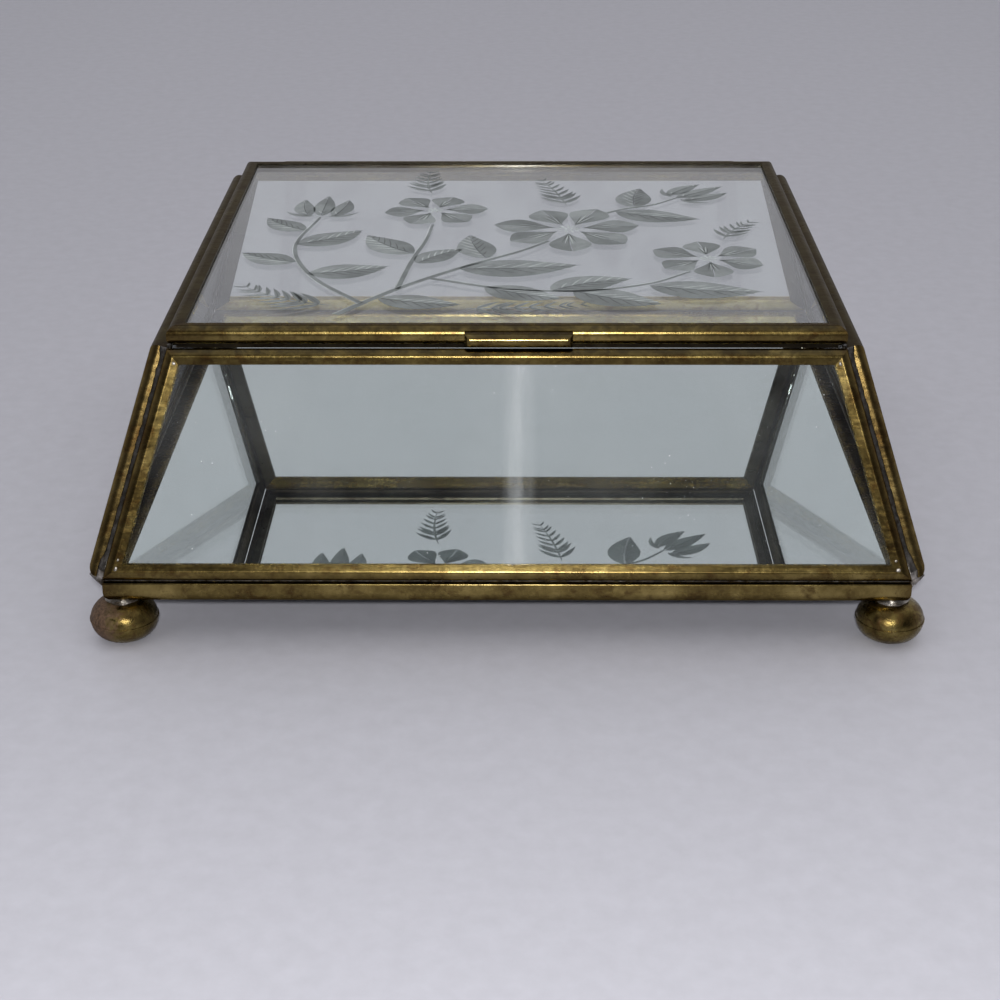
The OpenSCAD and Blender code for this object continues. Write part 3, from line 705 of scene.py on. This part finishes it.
def make_etching():
    """A spray of flowers, leaves and ferns over the lid's glass."""
    leaves, flowers, ferns, lines = (bmesh.new() for _ in range(4))
    # Each stem: its points and its width
    for points, width in (
        (((-30, -47), (-20, -33), (-8, -20), (2, -11), (8, -4)), 1.5),
        (((20, 15), (24, 18), (30, 21), (35, 26)), 1.0),
        (((-14, -27), (0, -33), (14, -34), (26, -30), (34, -23)), 1.2),
        (((-26, -41), (-36, -26), (-41, -8), (-38, 12)), 1.2),
        (((-20, -33), (-18, -16), (-16, -4), (-15, 7)), 1.1),
    ):
        stem_line(leaves, lines, points, width)
    # Each leaf: its foot, heading, length, width and bend
    for start, angle, length, width, bend in (
        ((-37, -24), 4, 15, 8.0, 24), ((-40, -17), 168, 12, 6.5, -30), ((-41, -6), 22, 15, 7.5, 30),
        ((-40, 3), 150, 12, 6.0, -30), ((-18, -12), 142, 15, 7.5, -26), ((-17, -18), 58, 12, 6.0, -22),
        ((-9, -21), -4, 22, 9.5, 18), ((-4, -15), 112, 15, 7.0, -18), ((-4, -32), -34, 15, 7.5, 18),
        ((8, -34), 40, 16, 8.0, -30), ((12, -34), -36, 17, 8.5, 22), ((26, -31), -22, 20, 9.0, 24),
        ((22, 16), -30, 17, 8.0, 24), ((26, 19), 96, 14, 7.0, -26), ((-23, -38), -24, 15, 7.0, 20),
    ):
        leaf(leaves, lines, start, angle, length, width, bend)
    flower(flowers, lines, (12, 4), 14.5, 7, 12)
    flower(flowers, lines, (38, -15), 11, 6, 34)
    flower(flowers, lines, (-15, 17), 10.5, 6, 8)
    bud(flowers, lines, (-38, 13), 88, 14)
    bud(flowers, lines, (35, 26), 40, 13)
    fern(ferns, lines, (-31, -42), 168, 22, -44, 9, 8)
    fern(ferns, lines, (-8, -44), 2, 24, 10, 9, 6)
    fern(ferns, lines, (-16, 29), 104, 19, -24, 8, 7)
    fern(ferns, lines, (12, 20), 98, 22, 14, 9, 7)
    fern(ferns, lines, (42, -3), 74, 15, -30, 7, 6)
    for name, mesh in (("etching_leaves", leaves), ("etching_flowers", flowers), ("etching_ferns", ferns)):
        add_piece(name, mesh, "lid", "etched_glass", FROST, SHADE_HALF_FROST, smooth=False)
    add_piece("etching_cut_lines", lines, "lid", "etched_glass", CUT_DARK, CUT_HIGHLIGHT, smooth=False)


# ---------------------------------------------------------------- lid lips

# How far the lips lie in from the lid's sides, how wide they are, and how far the one at the
# back reaches past the lid's channel
LIP_INSET = 0.18 * MM
LIP_WIDTH = 0.95 * MM
LIP_BACK = 0.05 * MM
# Depth and length of the waves along a lip's lower edge, the length in millimetres
LIP_WAVE = 0.04 * MM
LIP_WAVE_LENGTH = 5.0


def lip_strip(low, high, steps=60):
    """A folded strip under the lid, slightly wavy, from corner to corner of a box."""
    along = 0 if high[0] - low[0] > high[1] - low[1] else 1
    rows = []
    for k in range(steps + 1):
        row = []
        for a, b in ((0, 0), (1, 0), (1, 1), (0, 1)):
            point = [low[0], low[1], high[2] if b else low[2]]
            point[along] = low[along] + (high[along] - low[along]) * k / steps
            point[1 - along] = high[1 - along] if a else low[1 - along]
            if not b:
                point[2] += LIP_WAVE * lumps(point[0], point[1], 3.0 * a * MM, LIP_WAVE_LENGTH)
            row.append(Vector(point))
        rows.append(row)
    mesh = bmesh.new()
    loft(mesh, rows)
    return mesh


def make_lips():
    """The lid's lip goes on along its sides and its back, in short folded strips of near-black brass whose
    darkness is painted shade.
    """
    low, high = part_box("lid_lip")
    left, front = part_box("lid_channel_left")[0].x, high.y
    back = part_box("lid_channel_back")[1].y
    outer = left + LIP_INSET
    inner = outer + LIP_WIDTH
    end = back - LIP_INSET - LIP_WIDTH
    boxes = {
        "left": ((outer, front, low.z), (inner, end, high.z)),
        "right": ((-inner, front, low.z), (-outer, end, high.z)),
        "back": ((outer, back - LIP_WIDTH, low.z), (-outer, back + LIP_BACK, high.z)),
    }
    for name, (one, two) in boxes.items():
        strip = lip_strip(one, two)
        # The strips are near-black brass, painted shade under the lid
        add_piece("lid_lip_" + name, strip, "lid", "dark_channel_brass", SHADE_BLACK_BRASS, smooth=False)


# ---------------------------------------------------------------- solder

OUT_FRONT = Vector((0.0, -math.cos(FRONT_TILT), math.sin(FRONT_TILT)))
OUT_RIGHT = Vector((math.cos(SIDE_TILT), 0.0, math.sin(SIDE_TILT)))
# The solder in a corner groove, in millimetres: its thickness, the place over its foot where
# it piles up, how far the pile reaches, and how far the blob at its top reaches
RUN_DEPTH = 1.0
PILE_AT = 1.6
PILE_REACH = 2.4
CAP_REACH = 1.2
# Share of a corner groove, from its foot, where the solder keeps its plain colour; above it the solder is
# darkened as painted shade
UNSHADED_SHARE = 0.035
# The fillet under a side wall, in millimetres: how far it stops short of the wall's ends, how
# far it runs up the wall and down the base, and how far the blobs at its ends reach
FILLET_STOP = 0.3
FILLET_UP = 2.3
FILLET_DOWN = 1.25
BLOB_REACH = 2.0
# How far the seam round a foot stands out from it, and how deep the solder sits in its top
FOOT_SEAM = 0.12 * MM
FOOT_SINK = 0.02 * MM
# How deep the drops on the mitres sit in the channel, and their height
BEAD_SINK = 0.14 * MM
BEAD_H = 0.16 * MM


def hump(distance, reach):
    """1 at no distance, and fading to 0 beyond the reach."""
    return math.exp(-(distance / reach) ** 2)


def corner_run(side_x, side_y):
    """Solder down the groove between two walls: rough, sunk in, piled up at its foot, and darkened above
    its foot as painted shade.
    """
    foot = Vector((BASE_X, -BASE_Y, BASE_Z))
    run = Vector((RIM_X - BASE_X, BASE_Y - RIM_Y, WALL_H))
    steps, across = 90, 8
    mesh = bmesh.new()
    rows = []
    for k in range(steps + 1):
        share = k / steps
        # The numbers before the sides only set the lumps of the four corners apart
        wave = lumps(7.0 * side_x, 3.0 * side_y, share * run.length, 1.6)
        ripple = lumps(share * run.length, 5.0 * side_x, 2.0 * side_y, 0.6)
        pile = hump(share * run.length / MM - PILE_AT, PILE_REACH)
        cap = hump((1 - share) * run.length / MM, CAP_REACH)
        depth = (RUN_DEPTH + 0.16 * wave + 0.1 * ripple + 0.6 * pile + 0.5 * cap) * MM
        root = foot + run * share
        row = [root]
        for j in range(across + 1):
            w = j / across
            bulge = (0.12 * pile - 0.14 * (1 - pile) + 0.06 * ripple) * math.sin(math.pi * w)
            row.append(root + (OUT_FRONT * (1 - w) + OUT_RIGHT * w) * depth * (1 + bulge))
        rows.append([Vector((side_x * p.x, -side_y * p.y, p.z)) for p in row])
    # Above its foot the run takes the darker solder, painted shade in the groove
    loft(mesh, rows, 0, 1, round(UNSHADED_SHARE * steps))
    return mesh


def side_fillet(side):
    """Fillet of solder under a side wall and down the side of the base, with blobs at its ends."""
    length = 2 * (BASE_Y - FILLET_STOP * MM)
    steps, across = 160, 7
    mesh = bmesh.new()
    rows = []
    for k in range(steps + 1):
        y = -length / 2 + length * k / steps
        from_end = min(k, steps - k) * length / steps / MM
        wave = lumps(y, 4.0 * side, 1.0, 2.6)
        ripple = lumps(y, 9.0 * side, 2.0, 0.9)
        blob = hump(from_end, BLOB_REACH)
        web = (FILLET_UP + 0.22 * wave + 0.1 * ripple + 0.3 * blob) * MM
        drop = (FILLET_DOWN + 0.3 * wave + 0.14 * ripple + 0.7 * blob) * MM
        root = Vector((BASE_X, y, BASE_Z))
        low, high = root + Vector((0.0, 0.0, -drop)), root + OUT_RIGHT * web
        row = [root]
        for j in range(across + 1):
            w = j / across
            sag = (0.16 - 0.3 * blob + 0.1 * ripple) * math.sin(math.pi * w)
            row.append((low * (1 - w) + high * w) * (1 - sag) + root * sag)
        rows.append([Vector((side * p.x, p.y, p.z)) for p in row])
    loft(mesh, rows)
    return mesh


def foot_ring(side_x, side_y, name):
    """Solder that has run out between a foot and the base."""
    low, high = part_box("foot_upper_cup_" + name)
    centre = Vector(((low.x + high.x) / 2, (low.y + high.y) / 2, 0.0))
    top = high.z
    half_h = top / 2
    flat = (high.x - low.x) / 2 - half_h - FOOT_SEAM
    around = 36
    seed = (side_x + 3 * side_y) * MM
    mesh = bmesh.new()
    rows = []
    for share, reach in ((0.0, 2.85), (0.3, 2.7), (0.65, 2.75), (1.0, 3.15)):
        row = []
        for k in range(around):
            a = 2 * math.pi * k / around
            ragged = 0.22 * lumps(math.cos(a) * 4 * MM, math.sin(a) * 4 * MM, seed, 2.0)
            radius = (reach + ragged) * MM
            over = max(radius - flat, 0.0)
            # The cup's skin is a half circle in section, outside its flat top
            foot_z = half_h + math.sqrt(half_h ** 2 - over ** 2) - FOOT_SINK
            z = foot_z * (1 - share) + BASE_BOTTOM * share
            row.append(centre + Vector((radius * math.cos(a), radius * math.sin(a), z)))
        rows.append(row)
    loft(mesh, rows)
    return mesh


def bead(mesh, at, out, radius, height):
    """A small flattened drop that stands on a surface."""
    out = out.normalized()
    side = out.cross(Vector((1.0, 0.0, 0.0)))
    side = (side if side.length > 0.1 else out.cross(Vector((0.0, 1.0, 0.0)))).normalized()
    other = out.cross(side)
    around = 14
    # Each drop is an oval that its own place turns
    oval, turn = 0.18, 900 * at.x
    rows = []
    for share in (-0.4, 0.0, 0.35, 0.65, 0.88, 0.98):
        ring = radius * math.sqrt(1 - share ** 2)
        row = []
        for k in range(around):
            a = 2 * math.pi * k / around
            spoke = side * math.cos(a) + other * math.sin(a)
            row.append(at + out * height * share + spoke * ring * (1 + oval * math.sin(2 * a + turn)))
        rows.append(row)
    loft(mesh, rows)


def mitre_beads():
    """Drops of solder on the mitres of the front and back walls."""
    mesh = bmesh.new()
    slope = math.hypot(WALL_H, BASE_Y - RIM_Y) / MM
    # Each drop, in millimetres: its way up the wall, its distance in from the corner, its radius
    for side_y, out in ((-1, OUT_FRONT), (1, Vector((0.0, -OUT_FRONT.y, OUT_FRONT.z)))):
        for side_x in (-1, 1):
            for up, inset, radius in ((2.0, 2.0, 0.45), (3.6, 2.0, 0.26), (37.4, 2.1, 0.36)):
                share = up / slope
                x = BASE_X + (RIM_X - BASE_X) * share - inset * MM
                y = BASE_Y + (RIM_Y - BASE_Y) * share
                inner = Vector((side_x * x, side_y * y, BASE_Z + WALL_H * share))
                bead(mesh, inner + out * (CHANNEL_T - BEAD_SINK), out, radius * MM, BEAD_H)
    return mesh


def make_solder():
    """All the rough solder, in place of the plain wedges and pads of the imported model."""
    metal = MATERIALS["solder"]
    for side_x, side_y, name in CORNERS:
        seam = corner_run(side_x, side_y)
        run = add_piece("corner_run_" + name, seam, "case", "solder", metal, SHADED_SOLDER)
        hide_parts("corner_solder_" + name)
    for side, name in SIDES:
        fillet = add_piece("side_fillet_" + name, side_fillet(side), "case", "solder", metal)
        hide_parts("base_solder_" + name)
    for side_x, side_y, name in CORNERS:
        pad = foot_ring(side_x, side_y, name)
        ring = add_piece("foot_ring_" + name, pad, "case", "solder", metal)
        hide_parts("foot_solder")
    add_piece("mitre_beads", mitre_beads(), "case", "solder", metal)


# ---------------------------------------------------------------- stage

# How far the floor reaches from the box, in metres
FLOOR_REACH = 4.0
# The floor's colour varies between these two
FLOOR_DARK = (0.5, 0.495, 0.54)
FLOOR_PALE = (0.54, 0.535, 0.585)
# Lamps: places and sizes in metres, power in watts and the spot's cone in degrees
OVERHEAD_AT = (0.05, 0.0, 1.3)
OVERHEAD_SIZE = 2.0
OVERHEAD_POWER = 8.5
FLASH_AT = (0.003, -0.385, 0.19)
FLASH_AIM = (0.0, -0.1, 0.02)
FLASH_RADIUS = 0.009
FLASH_POWER = 3.3
FLASH_CONE = 50
FLASH_FADE = 0.4


def make_floor():
    """A plain pale floor under the box."""
    mesh = bpy.data.meshes.new("floor")
    grid = bmesh.new()
    bmesh.ops.create_grid(grid, x_segments=1, y_segments=1, size=FLOOR_REACH)
    grid.to_mesh(mesh)
    grid.free()
    t = Tree("floor")
    grain = t.noise(260, 4, 0.6)
    t.set(
        Base_Color=t.ramp(grain, (0.3, FLOOR_DARK), (0.7, FLOOR_PALE)),
        Roughness=0.55,
        Normal=t.bump(grain, 0.08, 0.4 * MM),
    )
    mesh.materials.append(t.material)
    new_object("floor", mesh)


def hang(name, data, place, target):
    """Hangs a lamp so that it faces a point."""
    lamp = new_object(name, data)
    lamp.location = place
    lamp.rotation_euler = (Vector(target) - Vector(place)).to_track_quat("-Z", "Y").to_euler()


def make_lamps():
    """A wide soft lamp overhead, and a small one beside the camera for thin bright edges."""
    overhead = bpy.data.lights.new("overhead", "AREA")
    overhead.size = OVERHEAD_SIZE
    overhead.energy = OVERHEAD_POWER
    hang("overhead", overhead, OVERHEAD_AT, (0.0, 0.0, 0.0))
    flash = bpy.data.lights.new("flash", "SPOT")
    flash.shadow_soft_size = FLASH_RADIUS
    flash.spot_size = math.radians(FLASH_CONE)
    flash.spot_blend = FLASH_FADE
    flash.energy = FLASH_POWER
    hang("flash", flash, FLASH_AT, FLASH_AIM)


def make_world():
    """A pale wall behind the box, dimmer overhead and dark behind the camera."""
    world = bpy.data.worlds.new("world")
    bpy.context.scene.world = world
    world.use_nodes = True
    nodes = world.node_tree.nodes
    links = world.node_tree.links
    parts = nodes.new("ShaderNodeSeparateXYZ")
    links.new(nodes.new("ShaderNodeTexCoord").outputs["Generated"], parts.inputs[0])
    mix = nodes.new("ShaderNodeMix")
    mix.data_type = "RGBA"
    mix.blend_type = "MULTIPLY"
    mix.inputs["Factor"].default_value = 1.0
    # An axis of the direction, the colours along it from -1 to 1, and the input that they go to
    ramps = (
        ("Y", 6, ((0.15, (0.1, 0.1, 0.11)), (0.5, (0.34, 0.34, 0.36)), (0.66, (0.6, 0.6, 0.64)))),
        ("Z", 7, ((0.74, 1.0), (0.92, 0.6))),
    )
    for axis, socket, stops in ramps:
        spread = nodes.new("ShaderNodeMapRange")
        spread.inputs["From Min"].default_value = -1.0
        links.new(parts.outputs[axis], spread.inputs["Value"])
        ramp = nodes.new("ShaderNodeValToRGB")
        links.new(spread.outputs["Result"], ramp.inputs["Fac"])
        fill_ramp(ramp, stops)
        links.new(ramp.outputs["Color"], mix.inputs[socket])
    links.new(mix.outputs[2], nodes["Background"].inputs["Color"])
    nodes["Background"].inputs["Strength"].default_value = 1.0


make_camera()
dress_cad()
make_etching()
make_lips()
make_solder()
make_floor()
make_world()
make_lamps()

bpy.context.scene.view_settings.view_transform = "Standard"
